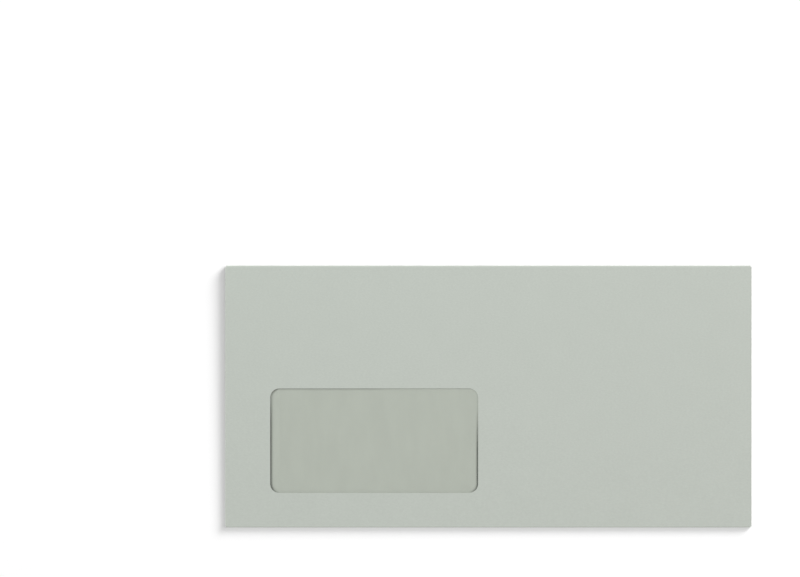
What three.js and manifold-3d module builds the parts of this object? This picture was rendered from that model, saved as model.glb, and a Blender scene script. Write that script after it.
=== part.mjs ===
// Window envelope in the long letter format, with a self-sealing flap and the window on the left.
// One sheet of paper is cut to shape with its window and folded in this order: the two side flaps,
// the back panel over them, and the seal flap over the back panel. A film patch is gummed behind
// the window. The seal flap holds a band of adhesive under its release liner, so the envelope is
// closed but not yet sealed.
//
// Millimetres, +Z up. The envelope lies with the window side up, on its seal flap and on the fold
// of its lower edge, so that the pocket between them leans a little. +X runs to the right along the
// long side as the face is read, and +Y runs up the face to the seal flap's fold. The origin is
// under the middle of the envelope, at the height of the surface that it lies on.

import * as THREE from "three";
import { mergeVertices } from "three/addons/utils/BufferGeometryUtils.js";
import Module from "manifold-3d";

// Finished envelope, measured over its folds
const envelopeWidth = 229;
const envelopeHeight = 114;
const paperThickness = 0.15;

// Window, cut in the front panel
const windowWidth = 90.5;
const windowHeight = 45.5;
const windowFromLeft = 19.5;
const windowFromBottom = 15;
const windowCornerRadius = 4;

// Film patch behind the window, and the ring of gum that holds it
const filmThickness = 0.04;
const filmOverhang = 1;
const windowGumSetback = 2;
const windowGumWidth = 3;
const windowGumThickness = 0.02;

// Side flaps, which fold in first: width from the fold to the inner edge, slope in degrees and
// rounding of the shoulder at the upper end, rise and rounding of the slanted lower end
const sideFlapWidth = 16;
const shoulderSlope = 19.5;
const shoulderRadius = 9;
const sideFlapFootRise = 4;
const sideFlapFootRadius = 3;

// Back panel, which folds up over the side flaps: depth of the open throat above it, how far its
// sides stay inside the side folds, and its tapered lower and upper corners
const throatDepth = 18.4;
const backPanelInset = 1.5;
const backPanelFootRise = 2;
const throatCornerRun = 2;
const throatCornerDrop = 5;
const throatCornerRadius = 2;

// Gum of the side seams, with its bare border inside the side flap's edges
const seamGumThickness = 0.03;
const seamGumBorder = 4;

// Seal flap: depth from the fold to the free edge, and slant of its sides in degrees
const sealFlapDepth = 36.5;
const sealFlapSlant = 16.1;
const sealFlapCornerRadius = 4.5;

// Adhesive band on the seal flap, and the liner that reaches past it on every side
const adhesiveLength = 177;
const adhesiveWidth = 6;
const adhesiveThickness = 0.05;
const adhesiveFromFlapEdge = 6.15;
const adhesiveOffset = 1.8;
const linerThickness = 0.06;
const linerPastAdhesiveEnds = 9.65;
const linerTowardsFlapEdge = 3.4;
const linerTowardsFold = 8.5;

// Free space between layers that lie on each other but aren't gummed
const closedFlapClearance = 0.04;
const pocketClearance = 0.34;

// Flat steps in the round corners and in the half-round folds, as divisions of one arc
const cornerDivisions = 6;
const foldDivisions = 5;

// Heights of the pocket's layers at the lower edge, where the back panel lies on the surface
const backPanelTop = paperThickness;
const sideFlapBottom = backPanelTop + seamGumThickness;
const sideFlapTop = sideFlapBottom + paperThickness;
const filmBottom = sideFlapTop + pocketClearance;
const filmTop = filmBottom + filmThickness;
const frontPanelBottom = filmTop + windowGumThickness;
const frontPanelTop = frontPanelBottom + paperThickness;

// Heights of the layers on the closed seal flap, which lies flat on the surface
const sealFlapTop = paperThickness;
const adhesiveTop = sealFlapTop + adhesiveThickness;
const linerTop = adhesiveTop + linerThickness;

// Half sizes, and the outer radius of each fold of the pocket: half the height it turns through
const halfWidth = envelopeWidth / 2;
const halfHeight = envelopeHeight / 2;
const sideFoldRadius = (frontPanelTop - sideFlapBottom) / 2;
const bottomFoldRadius = frontPanelTop / 2;

// Edges of the layers behind the front panel
const throatLine = halfHeight - throatDepth;
const sealFlapEdge = halfHeight - sealFlapDepth;
const sideFlapInner = halfWidth - sideFlapWidth;
const adhesiveMiddle = sealFlapEdge + adhesiveFromFlapEdge + adhesiveWidth / 2;
const linerEdge = adhesiveMiddle - adhesiveWidth / 2 - linerTowardsFlapEdge;

// Lean of the pocket, as rise over run: from the lower edge's fold line it rises to clear the
// liner at the edge of the liner that lies nearest to it
const flatBottom = -halfHeight + bottomFoldRadius;
const lean = (linerTop + closedFlapClearance) / (linerEdge - flatBottom);

// The seal flap's fold turns from the raised front panel down to the surface. Its height also
// sets where the front panel ends, so the height is solved from both.
const topFoldHeight = (frontPanelTop + lean * (halfHeight - flatBottom)) / (1 + lean / 2);
const topFoldRadius = topFoldHeight / 2;
const flatTop = halfHeight - topFoldRadius;
const flatRight = halfWidth - sideFoldRadius;

const windowCentre = new THREE.Vector2(
  -halfWidth + windowFromLeft + windowWidth / 2,
  -halfHeight + windowFromBottom + windowHeight / 2,
);

const wasm = await Module();
wasm.setup();

// Closed outline through corners given as [x, y, radius], where a corner without a radius is sharp
function outline(corners) {
  const shape = new THREE.Shape();
  const goTo = (x, y, i) => (i === 0 ? shape.moveTo(x, y) : shape.lineTo(x, y));
  corners.forEach(([x, y, radius = 0], i) => {
    if (radius === 0) {
      goTo(x, y, i);
      return;
    }
    const corner = new THREE.Vector2(x, y);
    const before = new THREE.Vector2(...corners.at(i - 1)).sub(corner).normalize();
    const after = new THREE.Vector2(...corners[(i + 1) % corners.length]).sub(corner).normalize();
    const halfAngle = before.angleTo(after) / 2;
    const tangent = radius / Math.tan(halfAngle);
    const towardsCentre = before.clone().add(after).setLength(radius / Math.sin(halfAngle));
    const centre = corner.clone().add(towardsCentre);
    const start = corner.clone().addScaledVector(before, tangent).sub(centre);
    const end = corner.clone().addScaledVector(after, tangent).sub(centre);
    const turnsRight = before.cross(after) > 0;
    goTo(centre.x + start.x, centre.y + start.y, i);
    shape.absarc(centre.x, centre.y, radius, start.angle(), end.angle(), turnsRight);
  });
  return shape;
}

// Rectangle round a centre, with all four corners alike
function rectangle(width, height, radius = 0, centre = new THREE.Vector2(0, 0)) {
  const [left, right] = [centre.x - width / 2, centre.x + width / 2];
  const [low, high] = [centre.y - height / 2, centre.y + height / 2];
  return outline([
    [left, low, radius],
    [right, low, radius],
    [right, high, radius],
    [left, high, radius],
  ]);
}

// Flat layer with the given outline, its lower face at height 0
function layer(shape, thickness) {
  return new THREE.ExtrudeGeometry(shape, {
    depth: thickness,
    bevelEnabled: false,
    curveSegments: cornerDivisions,
  });
}

// Section of a half-round fold of the paper that starts at the given line and upper height and
// bulges to the side that direction (1 or -1) gives
function foldSection(foldLine, top, outerRadius, direction) {
  const innerRadius = outerRadius - paperThickness;
  const middle = top - outerRadius;
  const first = direction > 0 ? -Math.PI / 2 : Math.PI / 2;
  const last = first + Math.PI;
  const shape = new THREE.Shape();
  shape.absarc(foldLine, middle, outerRadius, first, last, false);
  shape.absarc(foldLine, middle, innerRadius, last, first, true);
  return shape;
}

// Fold that runs along the whole of one side of the front panel, from start to end. The axes say
// where the section's own x, y and length directions point.
function fold(section, start, end, axes) {
  const geometry = new THREE.ExtrudeGeometry(section, {
    depth: end - start,
    bevelEnabled: false,
    curveSegments: foldDivisions,
  });
  geometry.translate(0, 0, start);
  return geometry.applyMatrix4(new THREE.Matrix4().makeBasis(...axes));
}

const AXIS_X = new THREE.Vector3(1, 0, 0);
const AXIS_Y = new THREE.Vector3(0, 1, 0);
const AXIS_Z = new THREE.Vector3(0, 0, 1);
const alongX = [AXIS_Y, AXIS_Z, AXIS_X];
const alongMinusY = [AXIS_X, AXIS_Z, AXIS_Y.clone().negate()];

// Leans a level layer of the pocket: it rises evenly from the fold line of the lower edge
const pocketLean = new THREE.Matrix4().set(
  1, 0, 0, 0,
  0, 1, 0, 0,
  0, lean, 1, -lean * flatBottom,
  0, 0, 0, 1,
);

function solidFrom(geometry) {
  geometry.deleteAttribute("normal");
  geometry.deleteAttribute("uv");
  const merged = mergeVertices(geometry);
  const mesh = new wasm.Mesh({
    numProp: 3,
    vertProperties: merged.getAttribute("position").array,
    triVerts: new Uint32Array(merged.index.array),
  });
  return new wasm.Manifold(mesh);
}

function geometryFrom(solid) {
  const mesh = solid.getMesh();
  const geometry = new THREE.BufferGeometry();
  geometry.setAttribute("position", new THREE.BufferAttribute(mesh.vertProperties, 3));
  geometry.setIndex(new THREE.BufferAttribute(mesh.triVerts, 1));
  geometry.computeVertexNormals();
  return geometry;
}

// Front panel, between its four fold lines, with the window cut out of it
function frontPanel() {
  const shape = outline([
    [-flatRight, flatBottom],
    [flatRight, flatBottom],
    [flatRight, flatTop],
    [-flatRight, flatTop],
  ]);
  shape.holes.push(rectangle(windowWidth, windowHeight, windowCornerRadius, windowCentre));
  return layer(shape, paperThickness).translate(0, 0, frontPanelBottom);
}

// Side flap on the left (side -1) or on the right (side 1), with its sloping rounded shoulder
function sideFlap(side) {
  const width = flatRight - sideFlapInner;
  const shoulder = flatTop - width * Math.tan(THREE.MathUtils.degToRad(shoulderSlope));
  const shape = outline([
    [side * flatRight, flatBottom],
    [side * sideFlapInner, flatBottom + sideFlapFootRise, sideFlapFootRadius],
    [side * sideFlapInner, shoulder, shoulderRadius],
    [side * flatRight, flatTop],
  ]);
  return layer(shape, paperThickness).translate(0, 0, sideFlapBottom);
}

function backPanel() {
  const edge = halfWidth - backPanelInset;
  const shape = outline([
    [-flatRight, flatBottom],
    [flatRight, flatBottom],
    [edge, flatBottom + backPanelFootRise],
    [edge, throatLine - throatCornerDrop, throatCornerRadius],
    [edge - throatCornerRun, throatLine, throatCornerRadius],
    [-edge + throatCornerRun, throatLine, throatCornerRadius],
    [-edge, throatLine - throatCornerDrop, throatCornerRadius],
    [-edge, flatBottom + backPanelFootRise],
  ]);
  return layer(shape, paperThickness);
}

function sealFlap() {
  const narrowing = Math.tan(THREE.MathUtils.degToRad(sealFlapSlant));
  const edge = flatRight - (flatTop - sealFlapEdge) * narrowing;
  const shape = outline([
    [-edge, sealFlapEdge, sealFlapCornerRadius],
    [edge, sealFlapEdge, sealFlapCornerRadius],
    [flatRight, flatTop],
    [-flatRight, flatTop],
  ]);
  return layer(shape, paperThickness);
}

// The whole sheet, joined through its four folds. The corners stay open where two folds meet, as
// the cut sheet has a notch there.
function foldedSheet() {
  const bottomFold = foldSection(flatBottom, frontPanelTop, bottomFoldRadius, -1);
  const leftFold = foldSection(-flatRight, frontPanelTop, sideFoldRadius, -1);
  const rightFold = foldSection(flatRight, frontPanelTop, sideFoldRadius, 1);
  const topFold = foldSection(flatTop, topFoldHeight, topFoldRadius, 1);
  const pocket = [
    frontPanel(),
    fold(leftFold, -flatTop, -flatBottom, alongMinusY),
    fold(rightFold, -flatTop, -flatBottom, alongMinusY),
    fold(bottomFold, -flatRight, flatRight, alongX),
    sideFlap(-1),
    sideFlap(1),
    backPanel(),
  ];
  let sheet = solidFrom(fold(topFold, -flatRight, flatRight, alongX));
  sheet = sheet.add(solidFrom(sealFlap()));
  for (const piece of pocket) sheet = sheet.add(solidFrom(piece.applyMatrix4(pocketLean)));
  return geometryFrom(sheet);
}

function windowGum() {
  const width = windowWidth + 2 * windowGumSetback;
  const height = windowHeight + 2 * windowGumSetback;
  const radius = windowCornerRadius + windowGumSetback;
  const shape = rectangle(
    width + 2 * windowGumWidth,
    height + 2 * windowGumWidth,
    radius + windowGumWidth,
  );
  shape.holes.push(rectangle(width, height, radius));
  return layer(shape, windowGumThickness);
}

function windowFilm() {
  const border = windowGumSetback + windowGumWidth + filmOverhang;
  return layer(rectangle(windowWidth + 2 * border, windowHeight + 2 * border), filmThickness);
}

// Gum strip of one side seam, inside the side flap's width and below the throat
const seamGumWidth = sideFlapWidth - 2 * seamGumBorder;
const seamGumLow = flatBottom + sideFlapFootRise + seamGumBorder;
const seamGumHigh = throatLine - seamGumBorder;

function seamGum() {
  return layer(rectangle(seamGumWidth, seamGumHigh - seamGumLow), seamGumThickness);
}

const linerLength = adhesiveLength + 2 * linerPastAdhesiveEnds;
const linerWidth = adhesiveWidth + linerTowardsFlapEdge + linerTowardsFold;

// Finishes: uncoated grey-green paper, hazy film, dried gum, clear adhesive, siliconed liner
const paper = new THREE.MeshStandardMaterial({ color: 0xbfc5bd, roughness: 0.9, metalness: 0 });
const film = new THREE.MeshStandardMaterial({
  color: 0xd1d7cd,
  roughness: 0.25,
  metalness: 0,
  transparent: true,
  opacity: 0.5,
});
const gum = new THREE.MeshStandardMaterial({ color: 0xe0d9bf, roughness: 0.5, metalness: 0 });
const adhesive = new THREE.MeshStandardMaterial({ color: 0xe6e6da, roughness: 0.3, metalness: 0 });
const liner = new THREE.MeshStandardMaterial({ color: 0xd2d7d3, roughness: 0.45, metalness: 0 });

function named(name, geometry, material) {
  const mesh = new THREE.Mesh(geometry, material);
  mesh.name = name;
  return mesh;
}

const envelope = new THREE.Group();
envelope.name = "window_envelope";
envelope.add(named("envelope_paper", foldedSheet(), paper));

// What the pocket holds leans with it
const pocketGroup = new THREE.Group();
pocketGroup.matrixAutoUpdate = false;
pocketGroup.matrix.copy(pocketLean);
envelope.add(pocketGroup);

// Window: the gum ring under the front panel, and the film under the gum
const windowGroup = new THREE.Group();
windowGroup.position.set(windowCentre.x, windowCentre.y, 0);
const gumRing = named("window_gum", windowGum(), gum);
gumRing.position.z = filmTop;
const filmPatch = named("window_film", windowFilm(), film);
filmPatch.position.z = filmBottom;
windowGroup.add(gumRing, filmPatch);
pocketGroup.add(windowGroup);

// Side seams: one gum strip on each side, between the back panel and the side flap
for (const [name, side] of [["side_seam_gum_left", -1], ["side_seam_gum_right", 1]]) {
  const strip = named(name, seamGum(), gum);
  strip.position.set(
    side * (halfWidth - sideFlapWidth / 2),
    (seamGumLow + seamGumHigh) / 2,
    backPanelTop,
  );
  pocketGroup.add(strip);
}

// Closure: adhesive on the inside of the seal flap, and the liner on the adhesive
const closure = new THREE.Group();
closure.position.set(adhesiveOffset, adhesiveMiddle, 0);
const band = named(
  "seal_adhesive",
  layer(rectangle(adhesiveLength, adhesiveWidth), adhesiveThickness),
  adhesive,
);
band.position.z = sealFlapTop;
const linerStrip = named(
  "release_liner",
  layer(rectangle(linerLength, linerWidth), linerThickness),
  liner,
);
linerStrip.position.set(0, (linerTowardsFold - linerTowardsFlapEdge) / 2, adhesiveTop);
closure.add(band, linerStrip);
envelope.add(closure);

export default envelope;
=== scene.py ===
import math

import bmesh
import bpy
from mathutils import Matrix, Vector


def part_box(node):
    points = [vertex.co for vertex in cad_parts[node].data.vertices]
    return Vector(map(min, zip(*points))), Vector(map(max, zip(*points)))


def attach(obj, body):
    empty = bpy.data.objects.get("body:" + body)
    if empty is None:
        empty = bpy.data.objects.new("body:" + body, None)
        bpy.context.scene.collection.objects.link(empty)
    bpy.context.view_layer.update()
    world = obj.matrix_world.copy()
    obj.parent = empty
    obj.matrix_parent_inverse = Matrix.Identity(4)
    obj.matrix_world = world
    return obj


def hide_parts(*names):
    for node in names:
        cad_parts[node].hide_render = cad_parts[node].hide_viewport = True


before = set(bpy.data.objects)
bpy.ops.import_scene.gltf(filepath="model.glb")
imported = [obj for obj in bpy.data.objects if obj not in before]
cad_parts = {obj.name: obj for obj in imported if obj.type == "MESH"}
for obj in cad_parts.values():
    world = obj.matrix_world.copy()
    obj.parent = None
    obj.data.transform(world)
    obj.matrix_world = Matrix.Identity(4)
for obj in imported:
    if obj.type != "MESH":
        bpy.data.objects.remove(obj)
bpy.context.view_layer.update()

# Window envelope, lying with its window side up on a pale studio floor and seen from straight
# above. The paper is one sheet, folded here from a flat grid in the order of the real folds, and
# the film is a patch that hangs a little slack behind the window. Metres; named sizes are in
# millimetres times MM.

MM = 0.001

# Upper corner of the folded sheet's box, and the film's box, from the frame
paper_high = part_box("envelope_paper")[1]
film_low, film_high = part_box("window_film")
half_width = paper_high.x
half_height = paper_high.y

# Paper, and the heights of its layers at the lower edge, where the back panel lies on the floor
paper_thickness = 0.15 * MM
front_panel_top = 0.88 * MM
side_flap_bottom = 0.18 * MM

# Half-round folds: outer radius from the height that each one turns through
side_fold_radius = (front_panel_top - side_flap_bottom) / 2
bottom_fold_radius = front_panel_top / 2
top_fold_radius = paper_high.z / 2
flat_right = half_width - side_fold_radius
flat_bottom = -half_height + bottom_fold_radius
flat_top = half_height - top_fold_radius

# The pocket leans: it rises from the lower edge's fold to the height of the upper fold
lean_angle = math.atan2(paper_high.z - front_panel_top, flat_top - flat_bottom)

# Window opening
window_width = 90.5 * MM
window_height = 45.5 * MM
window_from_left = 19.5 * MM
window_from_bottom = 15 * MM
window_radius = 4 * MM
window_left = -half_width + window_from_left
window_right = window_left + window_width
window_low = -half_height + window_from_bottom
window_high = window_low + window_height

# Cutter of the window: its foot stays clear of the back panel
cutter_foot = 0.5 * MM
cutter_head = 2.5 * MM
cutter_corner_steps = 12

# Cut shapes of the flaps and of the back panel
side_flap_inner = half_width - 16 * MM
shoulder_slope = math.radians(19.5)
shoulder_radius = 9 * MM
side_flap_foot_rise = 4 * MM
side_flap_foot_radius = 3 * MM
throat_line = half_height - 18.4 * MM
back_panel_edge = half_width - 1.5 * MM
back_panel_foot_rise = 2 * MM
throat_corner_run = 2 * MM
throat_corner_drop = 5 * MM
throat_corner_radius = 2 * MM
seal_flap_edge = half_height - 36.5 * MM
seal_flap_slant = math.radians(16.1)
seal_flap_corner_radius = 4.5 * MM

# Swells of the pocket, each as x, y, reach and rise: the folded paper springs open a little
# between its gummed sides. They stay clear of the window and of the side seams.
pocket_swells = [
    (52 * MM, 2 * MM, 46 * MM, 0.16 * MM),
    (70 * MM, -22 * MM, 28 * MM, 0.07 * MM),
    (34 * MM, -24 * MM, 26 * MM, 0.05 * MM),
    (-30 * MM, 32 * MM, 17 * MM, 0.03 * MM),
]

# Film patch, gummed to the inside of the front panel
film_thickness = 0.04 * MM
window_gum_thickness = 0.02 * MM
film_top = front_panel_top - paper_thickness - window_gum_thickness

# Slack of the film between its gummed edges: shallow hollows, each as x, y, reach and rise, and
# a trough along the left edge of the window, for which the film gets finer lines of edges
film_hollows = [
    (-70 * MM, -20 * MM, 21 * MM, -0.05 * MM),
    (-41 * MM, -28 * MM, 13 * MM, -0.05 * MM),
    (-30 * MM, -19 * MM, 20 * MM, -0.04 * MM),
    (-15 * MM, -12 * MM, 12 * MM, -0.03 * MM),
]
trough_x = window_left + 1.0 * MM
trough_reach = 3.4 * MM
trough_rise = -0.34 * MM
trough_lines = 6

# Painted shade: a dark line on the film along the window's edge, which stands in for the shadow of
# the cut paper edge, with places counted from the window's middle. Along the sides it is full below
# one height and gone above another; both heights drop to the right by the slope, and the left side
# has a share of the right one's shade. Along the upper edge it is faint, and gone towards the right.
painted_shade_width = 1.3 * MM
painted_shade_full_height = -1 * MM
painted_shade_gone_height = 22 * MM
painted_shade_slope = 0.1
painted_shade_left_share = 0.8
painted_shade_upper_share = 0.25
painted_shade_upper_full = -5 * MM
painted_shade_upper_gone = 15 * MM

# How finely the sheets are divided, and how many steps a fold or a rounded corner takes
paper_cell = 3 * MM
crease_strip = 0.3 * MM
film_cell = 1.5 * MM
fold_steps = 8
corner_steps = 8
smooth_angle = math.radians(35)

# How near counts as the same point, as on a line, and as on a line that has leaned with the
# pocket; how far past its edge a panel is looked for; how far the front panel swells at most;
# and how near to a line a cut snaps to it
same_point = 0.001 * MM
on_line = 0.002 * MM
on_leaned_line = 0.02 * MM
past_edge = 0.01 * MM
most_swollen = 0.3 * MM
cut_snap = 0.1 * MM

# Camera: the picture's scale on the paper, and the point of the paper in its middle
picture_pixels = 800
pixels_per_mm = 2.298
picture_middle = (-38.5 * MM, 47.0 * MM)
camera_lens = 200
camera_sensor = 36

# Studio: the floor's size, and what the floor's own glow and the air all round add to its
# brightness, where 1 shows it as white
floor_size = 30
floor_glow = 0.078
air_share = 0.50


def linear(hex_colour):
    """sRGB hex to a linear RGBA colour."""
    channels = [int(hex_colour[i:i + 2], 16) / 255 for i in (1, 3, 5)]
    curve = [c / 12.92 if c <= 0.04045 else ((c + 0.055) / 1.055) ** 2.4 for c in channels]
    return (*curve, 1.0)


# Modelling by hand


def grid(name, low, high, height, cell):
    """Flat grid between two corners, left in edit mode for the work that follows."""
    bpy.ops.object.select_all(action="DESELECT")
    size = (high[0] - low[0], high[1] - low[1])
    bpy.ops.mesh.primitive_grid_add(
        x_subdivisions=round(size[0] / cell),
        y_subdivisions=round(size[1] / cell),
        size=1,
        location=((low[0] + high[0]) / 2, (low[1] + high[1]) / 2, height),
    )
    piece = bpy.context.object
    piece.name = name
    piece.data.name = name
    piece.scale = (size[0], size[1], 1)
    bpy.ops.object.transform_apply(location=True, rotation=True, scale=True)
    bpy.ops.object.mode_set(mode="EDIT")
    return piece


def select(piece, kind, inside):
    """Selects the vertices, edges or faces whose every corner passes the test."""
    bpy.ops.mesh.select_mode(type=kind)
    bpy.ops.mesh.select_all(action="DESELECT")
    mesh = bmesh.from_edit_mesh(piece.data)
    if kind == "VERT":
        for vertex in mesh.verts:
            vertex.select = inside(vertex.co)
    else:
        for part in mesh.edges if kind == "EDGE" else mesh.faces:
            if all(inside(vertex.co) for vertex in part.verts):
                part.select_set(True)
    mesh.select_flush_mode()
    bmesh.update_edit_mesh(piece.data)


def near(value, target, within=on_line):
    """Whether a coordinate is where it should be."""
    return abs(value - target) < within


def lay_line(place, across):
    """Lays a line of edges over the whole open piece, square to the given direction."""
    bpy.ops.mesh.select_all(action="SELECT")
    bpy.ops.mesh.bisect(plane_co=place, plane_no=across)


def fold_round(centre, axis, angle):
    """Turns the selected edges through a half-round fold."""
    bpy.ops.mesh.spin(steps=fold_steps, angle=angle, center=centre, axis=axis)


def extrude_panel(direction, depth):
    """Draws the selected edges out into a panel: a narrow strip by the fold, then even cells."""
    cells = round(depth / paper_cell)
    even = (depth - crease_strip) / cells
    for step in [crease_strip] + [even] * cells:
        bpy.ops.mesh.extrude_region_move(
            TRANSFORM_OT_translate={"value": tuple(step * part for part in direction)}
        )


def cutting_lines(corners, kept):
    """Lines that trim a panel to a convex outline: pairs of a point and an outward normal.

    The corners follow the outline, as (x, y, radius), and the kept point lies inside it.
    """
    points = [Vector(corner[:2]) for corner in corners]

    def outward(start, end):
        along = (end - start).normalized()
        normal = Vector((along.y, -along.x))
        return normal if normal.dot(start - Vector(kept)) > 0 else -normal

    sides = [outward(start, end) for start, end in zip(points, points[1:])]
    lines = list(zip(points, sides))
    for i in range(1, len(points) - 1):
        radius = corners[i][2]
        bisector = (sides[i - 1] + sides[i]).normalized()
        centre = points[i] - bisector * radius / bisector.dot(sides[i])
        for step in range(1, corner_steps):
            normal = sides[i - 1].slerp(sides[i], step / corner_steps)
            lines.append((centre + normal * radius, normal))
    return lines


def trim_panel(piece, on_panel, corners, kept):
    """Cuts the part of a flat panel that passes the test to its outline."""
    for point, normal in cutting_lines(corners, kept):
        select(piece, "FACE", on_panel)
        bpy.ops.mesh.bisect(
            plane_co=(point.x, point.y, 0),
            plane_no=(normal.x, normal.y, 0),
            clear_outer=True,
            threshold=same_point,
        )


def pull(piece, chosen, reach, rise):
    """Lifts the chosen vertices, and the sheet round them less and less up to the reach."""
    select(piece, "VERT", chosen)
    bpy.ops.transform.translate(
        value=(0, 0, rise),
        use_proportional_edit=True,
        proportional_edit_falloff="SMOOTH",
        proportional_size=reach,
    )


def swell(piece, places, inside):
    """Lifts soft round swells out of a sheet, each given as x, y, reach and rise."""
    for x, y, reach, rise in places:
        mesh = bmesh.from_edit_mesh(piece.data)
        candidates = [vertex.co.copy() for vertex in mesh.verts if inside(vertex.co)]
        nearest = min(candidates, key=lambda place: math.hypot(place.x - x, place.y - y))
        pull(piece, lambda place: (place - nearest).length < same_point, reach, rise)


def lean_back():
    """Tips the open piece up round the lower fold's line, as far as the pocket leans."""
    bpy.ops.mesh.select_all(action="SELECT")
    bpy.ops.transform.rotate(
        value=-lean_angle,
        orient_axis="X",
        center_override=(0, flat_bottom, 0),
    )


def apply_modifier(piece, name, kind, **settings):
    """Adds a modifier with its settings and applies it to the piece's mesh."""
    modifier = piece.modifiers.new(name, kind)
    for key, value in settings.items():
        setattr(modifier, key, value)
    bpy.context.view_layer.objects.active = piece
    bpy.ops.object.modifier_apply(modifier=name)


def smooth(piece):
    """Shades the piece smooth, apart from its cut edges."""
    bpy.ops.object.select_all(action="DESELECT")
    piece.select_set(True)
    bpy.context.view_layer.objects.active = piece
    bpy.ops.object.shade_smooth_by_angle(angle=smooth_angle)


# The folded sheet


def front_panel():
    """The flat front panel, with a narrow strip along each of its folds."""
    sheet = grid(
        "paper_sheet",
        (-flat_right, flat_bottom),
        (flat_right, flat_top),
        front_panel_top,
        paper_cell,
    )
    for side in (-1, 1):
        lay_line((side * (flat_right - crease_strip), 0, 0), (1, 0, 0))
    lay_line((0, flat_bottom + crease_strip, 0), (0, 1, 0))
    lay_line((0, flat_top - crease_strip, 0), (0, 1, 0))
    return sheet


def side_flap(sheet, side):
    """A side flap, turned in behind the front panel: side is -1 on the left, 1 on the right."""
    fold_line = side * flat_right
    inner_edge = side * side_flap_inner
    depth = flat_right - side_flap_inner
    shoulder = flat_top - depth * math.tan(shoulder_slope)
    select(
        sheet,
        "EDGE",
        lambda place: near(place.x, fold_line) and near(place.z, front_panel_top),
    )
    fold_round(
        (fold_line, 0, front_panel_top - side_fold_radius),
        (0, 1, 0),
        -side * math.pi,
    )
    extrude_panel((-side, 0, 0), depth)
    trim_panel(
        sheet,
        lambda place: near(place.z, side_flap_bottom) and place.x * side > 0,
        [
            (fold_line, flat_bottom, 0),
            (inner_edge, flat_bottom + side_flap_foot_rise, side_flap_foot_radius),
            (inner_edge, shoulder, shoulder_radius),
            (fold_line, flat_top, 0),
        ],
        kept=(fold_line, 0),
    )


def back_panel(sheet):
    """The back panel, turned up over the side flaps, with its slanted feet and its throat."""
    select(
        sheet,
        "EDGE",
        lambda place: near(place.y, flat_bottom)
        and near(place.z, front_panel_top)
        and abs(place.x) < flat_right + past_edge,
    )
    fold_round(
        (0, flat_bottom, front_panel_top - bottom_fold_radius),
        (1, 0, 0),
        -math.pi,
    )
    extrude_panel((0, 1, 0), throat_line - flat_bottom)
    foot_line = flat_bottom + back_panel_foot_rise
    select(sheet, "FACE", lambda place: near(place.z, 0))
    bpy.ops.mesh.bisect(plane_co=(0, foot_line, 0), plane_no=(0, 1, 0))
    for side in (-1, 1):
        trim_panel(
            sheet,
            lambda place: near(place.z, 0) and place.y < foot_line + past_edge,
            [(side * flat_right, flat_bottom, 0), (side * back_panel_edge, foot_line, 0)],
            kept=(0, 0),
        )
    throat_end = back_panel_edge - throat_corner_run
    throat_shoulder = throat_line - throat_corner_drop
    trim_panel(
        sheet,
        lambda place: near(place.z, 0) and place.y > foot_line - past_edge,
        [
            (-back_panel_edge, foot_line, 0),
            (-back_panel_edge, throat_shoulder, throat_corner_radius),
            (-throat_end, throat_line, throat_corner_radius),
            (throat_end, throat_line, throat_corner_radius),
            (back_panel_edge, throat_shoulder, throat_corner_radius),
            (back_panel_edge, foot_line, 0),
        ],
        kept=(0, 0),
    )


def seal_flap(sheet):
    """The seal flap, turned down behind the back panel to lie on the floor."""
    select(
        sheet,
        "EDGE",
        lambda place: near(place.y, flat_top, on_leaned_line)
        and near(place.z, paper_high.z, on_leaned_line),
    )
    fold_round((0, flat_top, top_fold_radius), (1, 0, 0), math.pi)
    depth = flat_top - seal_flap_edge
    extrude_panel((0, -1, 0), depth)
    corner = flat_right - depth * math.tan(seal_flap_slant)
    trim_panel(
        sheet,
        lambda place: near(place.z, 0) and place.y > 0,
        [
            (-flat_right, flat_top, 0),
            (-corner, seal_flap_edge, seal_flap_corner_radius),
            (corner, seal_flap_edge, seal_flap_corner_radius),
            (flat_right, flat_top, 0),
        ],
        kept=(0, flat_top),
    )


def window_cutter():
    """Block with the window's outline, standing through the front panel only."""
    bpy.ops.object.select_all(action="DESELECT")
    bpy.ops.mesh.primitive_cube_add(
        size=1,
        location=(
            (window_left + window_right) / 2,
            (window_low + window_high) / 2,
            (cutter_foot + cutter_head) / 2,
        ),
    )
    cutter = bpy.context.object
    cutter.scale = (window_width, window_height, cutter_head - cutter_foot)
    bpy.ops.object.transform_apply(location=True, rotation=True, scale=True)
    bpy.ops.object.mode_set(mode="EDIT")
    bpy.ops.mesh.select_mode(type="EDGE")
    bpy.ops.mesh.select_all(action="DESELECT")
    mesh = bmesh.from_edit_mesh(cutter.data)
    for edge in mesh.edges:
        start, end = (vertex.co for vertex in edge.verts)
        if near(start.x, end.x) and near(start.y, end.y):
            edge.select_set(True)
    bmesh.update_edit_mesh(cutter.data)
    bpy.ops.mesh.bevel(offset=window_radius, segments=cutter_corner_steps, affect="EDGES")
    bpy.ops.object.mode_set(mode="OBJECT")
    return cutter


def envelope_paper():
    """The sheet, folded, swollen and leaning, with its thickness and the window cut in it."""
    sheet = front_panel()
    for side in (-1, 1):
        side_flap(sheet, side)
    back_panel(sheet)
    swell(sheet, pocket_swells, lambda place: near(place.z, front_panel_top, most_swollen))
    lean_back()
    seal_flap(sheet)
    bpy.ops.mesh.select_mode(type="VERT")
    bpy.ops.mesh.select_all(action="SELECT")
    bpy.ops.mesh.remove_doubles(threshold=same_point)
    bpy.ops.mesh.normals_make_consistent(inside=False)
    bpy.ops.object.mode_set(mode="OBJECT")
    apply_modifier(
        sheet,
        "thickness",
        "SOLIDIFY",
        thickness=paper_thickness,
        offset=-1,
        use_even_offset=True,
        use_quality_normals=True,
    )
    cutter = window_cutter()
    apply_modifier(sheet, "window", "BOOLEAN", object=cutter, operation="DIFFERENCE", solver="EXACT")
    bpy.data.objects.remove(cutter)
    smooth(sheet)
    return sheet


# The film


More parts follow.
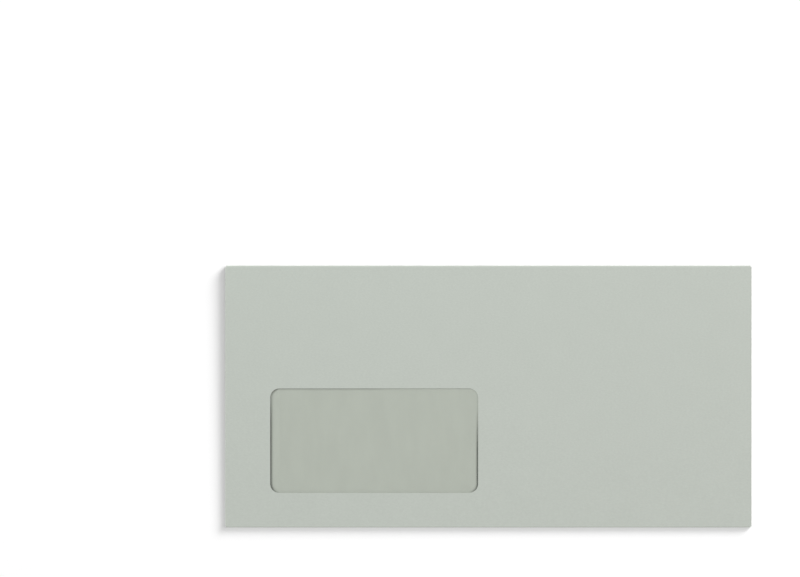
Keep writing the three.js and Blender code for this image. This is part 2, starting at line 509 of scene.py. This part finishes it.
def window_film():
    """The film patch: a grid with a little slack, leaning with the pocket that it is gummed to."""
    film = grid(
        "window_patch",
        (film_low.x, film_low.y),
        (film_high.x, film_high.y),
        film_top,
        film_cell,
    )
    for line in range(-trough_lines, trough_lines + 1):
        lay_line((trough_x + line / trough_lines * trough_reach, 0, 0), (1, 0, 0))
    swell(film, film_hollows, lambda place: True)
    pull(
        film,
        lambda place: near(place.x, trough_x, cut_snap) and window_low < place.y < window_high,
        trough_reach,
        trough_rise,
    )
    lean_back()
    bpy.ops.object.mode_set(mode="OBJECT")
    apply_modifier(film, "thickness", "SOLIDIFY", thickness=film_thickness, offset=-1)
    smooth(film)
    return film


# Finishes


def link(owner, node, links):
    """Feeds inputs of a node, given by name or number, from outputs of other nodes."""
    for name, output in links.items():
        owner.node_tree.links.new(output, node.inputs[name])


def add(owner, kind, settings=None, links=None, stops=()):
    """Adds a node to a material or world.

    The settings are properties or input values, and the stops are places and colours on a ramp.
    """
    node = owner.node_tree.nodes.new(kind)
    for name, value in (settings or {}).items():
        if isinstance(name, str) and hasattr(node, name):
            setattr(node, name, value)
        else:
            node.inputs[name].default_value = value
    for i, (place, tone) in enumerate(stops):
        node.color_ramp.elements[i].position = place
        node.color_ramp.elements[i].color = linear(tone)
    link(owner, node, links or {})
    return node


def finish(name, settings):
    """Material with a Principled shader that has the given plain values."""
    material = bpy.data.materials.new(name)
    material.use_nodes = True
    shader = material.node_tree.nodes["Principled BSDF"]
    for socket, value in settings.items():
        shader.inputs[socket].default_value = value
    return material, shader


def grain(material, size, stretch=(1, 1, 1), detail=2.0, turn=0.0):
    """Pattern with features of a real size, stretched and turned in the piece's own place."""
    place = add(material, "ShaderNodeTexCoord")
    laid = add(
        material,
        "ShaderNodeMapping",
        {"Rotation": (0, 0, turn), "Scale": tuple(1 / part for part in stretch)},
        {"Vector": place.outputs["Object"]},
    )
    noise = add(
        material,
        "ShaderNodeTexNoise",
        {"Scale": 1 / size, "Detail": detail, "Roughness": 0.55},
        {"Vector": laid.outputs["Vector"]},
    )
    return noise.outputs["Fac"]


def surface(material, shader, value, stops, depth, strength):
    """Gives the shader its colour and its relief from one grain, and hands over the colour."""
    tone = add(material, "ShaderNodeValToRGB", links={"Fac": value}, stops=stops)
    relief = add(
        material,
        "ShaderNodeBump",
        {"Strength": strength, "Distance": depth},
        {"Height": value},
    )
    colour = tone.outputs["Color"]
    link(material, shader, {"Base Color": colour, "Normal": relief.outputs["Normal"]})
    return colour


def uncoated_paper():
    """Uncoated paper, dyed in the pulp and calendered smooth.

    Dull all over; the pulp settles in faint clouds, and single fibres show as a fine grain.
    """
    material, shader = finish("uncoated_paper", {"Roughness": 0.9, "IOR": 1.5})
    # Fibres are about 0.03 mm thick: drawn at 0.6 mm, the finest that the picture can show
    fibres = grain(material, 0.6 * MM, stretch=(1.6, 1, 1), detail=3, turn=0.3)
    speckle = surface(
        material,
        shader,
        fibres,
        [(0.3, "#F8F8F8"), (0.7, "#FFFFFF")],
        depth=0.006 * MM,
        strength=0.5,
    )
    pulp = add(
        material,
        "ShaderNodeValToRGB",
        links={"Fac": grain(material, 13 * MM, detail=3)},
        stops=[(0.35, "#C0C5BD"), (0.65, "#C1C6BE")],
    )
    colour = add(
        material,
        "ShaderNodeMix",
        {"data_type": "RGBA", "blend_type": "MULTIPLY", "Factor": 1},
        {"A": pulp.outputs["Color"], "B": speckle},
    )
    link(material, shader, {"Base Color": colour.outputs["Result"]})
    return material


def polystyrene_film():
    """Cast polystyrene film: thin, slightly hazy, glossy, with faint draw lines and cockles.

    Along the sides of the window the film carries painted shade: a darker line that stands in for
    the shadow of the cut paper edge on the film, most low down.
    """
    material, shader = finish(
        "polystyrene_film",
        {"Roughness": 0.25, "IOR": 1.55, "Alpha": 0.5},
    )
    haze = surface(
        material,
        shader,
        grain(material, 6 * MM, stretch=(1, 3, 1), detail=3),
        [(0.35, "#D0D5CA"), (0.65, "#D3D8CD")],
        depth=0.012 * MM,
        strength=0.4,
    )
    # The dark colour mixed in here is painted shade, standing in for the cut edge's shadow on the
    # film
    colour = add(
        material,
        "ShaderNodeMix",
        {"data_type": "RGBA", "B": linear("#646860")},
        {"Factor": painted_shade_line(material), "A": haze},
    )
    link(material, shader, {"Base Color": colour.outputs["Result"]})
    return material


def painted_shade_line(material):
    """Amount of painted shade on the film, from 0 to 1: along the window's sides, and faintly above.
    """
    middle = ((window_left + window_right) / 2, (window_low + window_high) / 2, 0)
    corner = (window_width / 2 - window_radius, window_height / 2 - window_radius, 0)
    place = add(material, "ShaderNodeTexCoord")
    centred = add(
        material,
        "ShaderNodeVectorMath",
        {"operation": "SUBTRACT", 1: middle},
        {0: place.outputs["Object"]},
    )

    # From the centres of the window's rounded corners: how far out, and in which direction
    outer = centred
    for operation, other in (
        ("MULTIPLY", (1, 1, 0)),
        ("ABSOLUTE", (0, 0, 0)),
        ("SUBTRACT", corner),
        ("MAXIMUM", (0, 0, 0)),
    ):
        outer = add(
            material,
            "ShaderNodeVectorMath",
            {"operation": operation, 1: other},
            {0: outer.outputs["Vector"]},
        )
    distance = add(
        material,
        "ShaderNodeVectorMath",
        {"operation": "LENGTH"},
        {0: outer.outputs["Vector"]},
    )
    facing = add(
        material,
        "ShaderNodeVectorMath",
        {"operation": "NORMALIZE"},
        {0: outer.outputs["Vector"]},
    )

    # Sums of the coordinates: sideways facing, height with the slope, height, and place across
    sums = [
        add(
            material,
            "ShaderNodeVectorMath",
            {"operation": "DOT_PRODUCT", 1: weights},
            {0: source.outputs["Vector"]},
        ).outputs["Value"]
        for source, weights in (
            (facing, (1, 0, 0)),
            (centred, (painted_shade_slope, 1, 0)),
            (centred, (0, 1, 0)),
            (centred, (1, 0, 0)),
        )
    ]
    sideways, sloped_height, height, across = sums

    # Each fade runs from one value at a first place to another at a second
    fades = [
        add(
            material,
            "ShaderNodeMapRange",
            {
                "interpolation_type": "SMOOTHSTEP",
                "From Min": first,
                "From Max": second,
                "To Min": at_first,
                "To Max": at_second,
            },
            {"Value": value},
        ).outputs["Result"]
        for value, first, second, at_first, at_second in (
            (distance.outputs["Value"], window_radius - painted_shade_width, window_radius, 0, 1),
            (sloped_height, painted_shade_gone_height, painted_shade_full_height, 0, 1),
            (across, -corner[0], corner[0], painted_shade_left_share, 1),
            (height, corner[1], corner[1] + window_radius, 0, 1),
            (across, painted_shade_upper_gone, painted_shade_upper_full, 0, painted_shade_upper_share),
        )
    ]
    # thickness is the left side's share of the painted shade, rising to full at the right
    edge, low_down, thickness, upper_edge, upper_left = fades

    above = add(
        material,
        "ShaderNodeMath",
        {"operation": "MULTIPLY"},
        {0: upper_edge, 1: upper_left},
    ).outputs["Value"]

    # Painted shade at the sides and painted shade above, both only along the edge
    amount = sideways
    for operation, other in (
        ("MULTIPLY", low_down),
        ("MULTIPLY", thickness),
        ("ADD", above),
        ("MULTIPLY", edge),
    ):
        amount = add(
            material,
            "ShaderNodeMath",
            {"operation": operation},
            {0: amount, 1: other},
        ).outputs["Value"]
    return amount


def dried_gum():
    """Water-based gum, dried to a thin uneven coat: pale, with a dull shine."""
    material, shader = finish("dried_gum", {"Roughness": 0.5, "IOR": 1.47})
    coat = grain(material, 1.5 * MM, detail=3)
    tones = [(0.35, "#DAD2B6"), (0.65, "#E4DEC6")]
    surface(material, shader, coat, tones, depth=0.01 * MM, strength=0.6)
    return material


def acrylic_adhesive():
    """Pressure-sensitive acrylic, rolled on: clear, wet-looking, with fine ribs along the band."""
    material, shader = finish("acrylic_adhesive", {"Roughness": 0.3, "IOR": 1.48})
    ribs = grain(material, 0.8 * MM, stretch=(8, 1, 1))
    tones = [(0.35, "#E2E2D4"), (0.65, "#EAEADF")]
    surface(material, shader, ribs, tones, depth=0.01 * MM, strength=0.7)
    return material


def siliconed_paper():
    """Glassine paper with a silicone coat: smooth, with a satin shine and cloudy translucence."""
    material, shader = finish("siliconed_paper", {"Roughness": 0.42, "IOR": 1.45})
    clouds = grain(material, 4 * MM, detail=4)
    tones = [(0.35, "#CFD5D0"), (0.65, "#D6DBD7")]
    surface(material, shader, clouds, tones, depth=0.008 * MM, strength=0.4)
    return material


def dress(piece, material):
    """Gives the piece its one material."""
    piece.data.materials.clear()
    piece.data.materials.append(material)


paper = envelope_paper()
dress(paper, uncoated_paper())
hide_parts("envelope_paper")
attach(paper, "root")

film = window_film()
dress(film, polystyrene_film())
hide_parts("window_film")
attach(film, "root")

gum = dried_gum()
for node in ("window_gum", "side_seam_gum_left", "side_seam_gum_right"):
    dress(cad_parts[node], gum)
dress(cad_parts["seal_adhesive"], acrylic_adhesive())
dress(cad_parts["release_liner"], siliconed_paper())


# Studio


def studio_floor():
    """White floor, which glows a little so that it shows white all over."""
    bpy.ops.object.select_all(action="DESELECT")
    bpy.ops.mesh.primitive_plane_add(size=floor_size, location=(0, 0, 0))
    floor = bpy.context.object
    floor.name = "studio_floor"
    material, shader = finish(
        "white_floor",
        {
            "Base Color": linear("#FFFFFF"),
            "Roughness": 1.0,
            "Specular IOR Level": 0.0,
            "Emission Color": linear("#FFFFFF"),
            "Emission Strength": floor_glow,
        },
    )
    dress(floor, material)
    return floor


def lit_group(name, members):
    """Collection of the objects that a light falls on."""
    group = bpy.data.collections.new(name)
    for member in members:
        group.objects.link(member)
    return group


def soft_light(
    name, receivers, azimuth, elevation, distance, spread, share, breadth=1, tint=(1, 1, 1)
):
    """Round or oval softbox aimed at the middle of the floor; all its angles are in degrees.

    The spread is half the angle from its lower to its upper edge, and it is breadth times as wide
    as it is high. It lights the receivers only, but everything casts its shadow. The share is what
    it adds to the brightness of a level surface, where 1 shows a white one as white.
    """
    azimuth, elevation = math.radians(azimuth), math.radians(elevation)
    light = bpy.data.lights.new(name, "AREA")
    light.shape = "ELLIPSE"
    light.color = tint
    light.size_y = 2 * distance * math.tan(math.radians(spread))
    light.size = light.size_y * breadth
    light.energy = share * math.pi ** 2 * distance ** 2 / math.sin(elevation)
    lamp = bpy.data.objects.new(name, light)
    bpy.context.collection.objects.link(lamp)
    flat = math.cos(elevation)
    towards = Vector((
        flat * math.cos(azimuth),
        flat * math.sin(azimuth),
        math.sin(elevation),
    ))
    lamp.location = towards * distance
    lamp.rotation_euler = towards.to_track_quat("Z", "Y").to_euler()
    lamp.visible_camera = False
    lamp.light_linking.receiver_collection = receivers


def floor_lights(lit):
    """Low wide light from the upper right: the shadow falls left and down, and fades softly."""
    soft_light(
        "floor_key_low", lit,
        azimuth=42, elevation=8, distance=5.5, spread=4.6, share=0.163, breadth=4.4,
    )
    soft_light(
        "floor_key_high", lit,
        azimuth=42, elevation=12, distance=5.5, spread=7.8, share=0.247, breadth=2.6,
    )
    soft_light(
        "floor_key_steep", lit,
        azimuth=10, elevation=27, distance=5.5, spread=10, share=0.09,
    )


def envelope_lights(lit):
    """Light from both sides, for the lines at the window's edges, and a little from the front."""
    soft_light(
        "left_light", lit,
        azimuth=160, elevation=26, distance=7, spread=7, share=0.215,
    )
    soft_light(
        "right_light", lit,
        azimuth=42, elevation=28, distance=1.15, spread=8, share=0.165, tint=(1.03, 0.99, 1),
    )
    soft_light(
        "front_light", lit,
        azimuth=-90, elevation=8, distance=5, spread=6, share=0.04,
    )
    soft_light(
        "back_light", lit,
        azimuth=115, elevation=35, distance=0.7, spread=10, share=0.085, tint=(0.84, 1.03, 1.02),
    )


def studio_air():
    """Even light from all round, which the camera itself sees as white."""
    world = bpy.data.worlds.new("studio_air")
    world.use_nodes = True
    bpy.context.scene.world = world
    path = add(world, "ShaderNodeLightPath")
    strength = add(
        world,
        "ShaderNodeMapRange",
        {"To Min": air_share, "To Max": 1.0},
        {"Value": path.outputs["Is Camera Ray"]},
    )
    air = world.node_tree.nodes["Background"]
    air.inputs["Color"].default_value = linear("#FFFFFF")
    link(world, air, {"Strength": strength.outputs["Result"]})


def camera():
    """Straight above, as far off as its long lens needs for the picture's width on the paper."""
    data = bpy.data.cameras.new("camera")
    data.lens = camera_lens
    data.sensor_width = camera_sensor
    picture_width = picture_pixels / pixels_per_mm * MM
    distance = picture_width * camera_lens / camera_sensor
    viewer = bpy.data.objects.new("camera", data)
    bpy.context.collection.objects.link(viewer)
    viewer.location = (picture_middle[0], picture_middle[1], paper_high.z + distance)
    bpy.context.scene.camera = viewer


floor_lights(lit_group("lit_floor", [studio_floor()]))
envelope_lights(lit_group("lit_envelope", [paper, film, *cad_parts.values()]))
studio_air()
camera()
bpy.context.scene.view_settings.view_transform = "Standard"
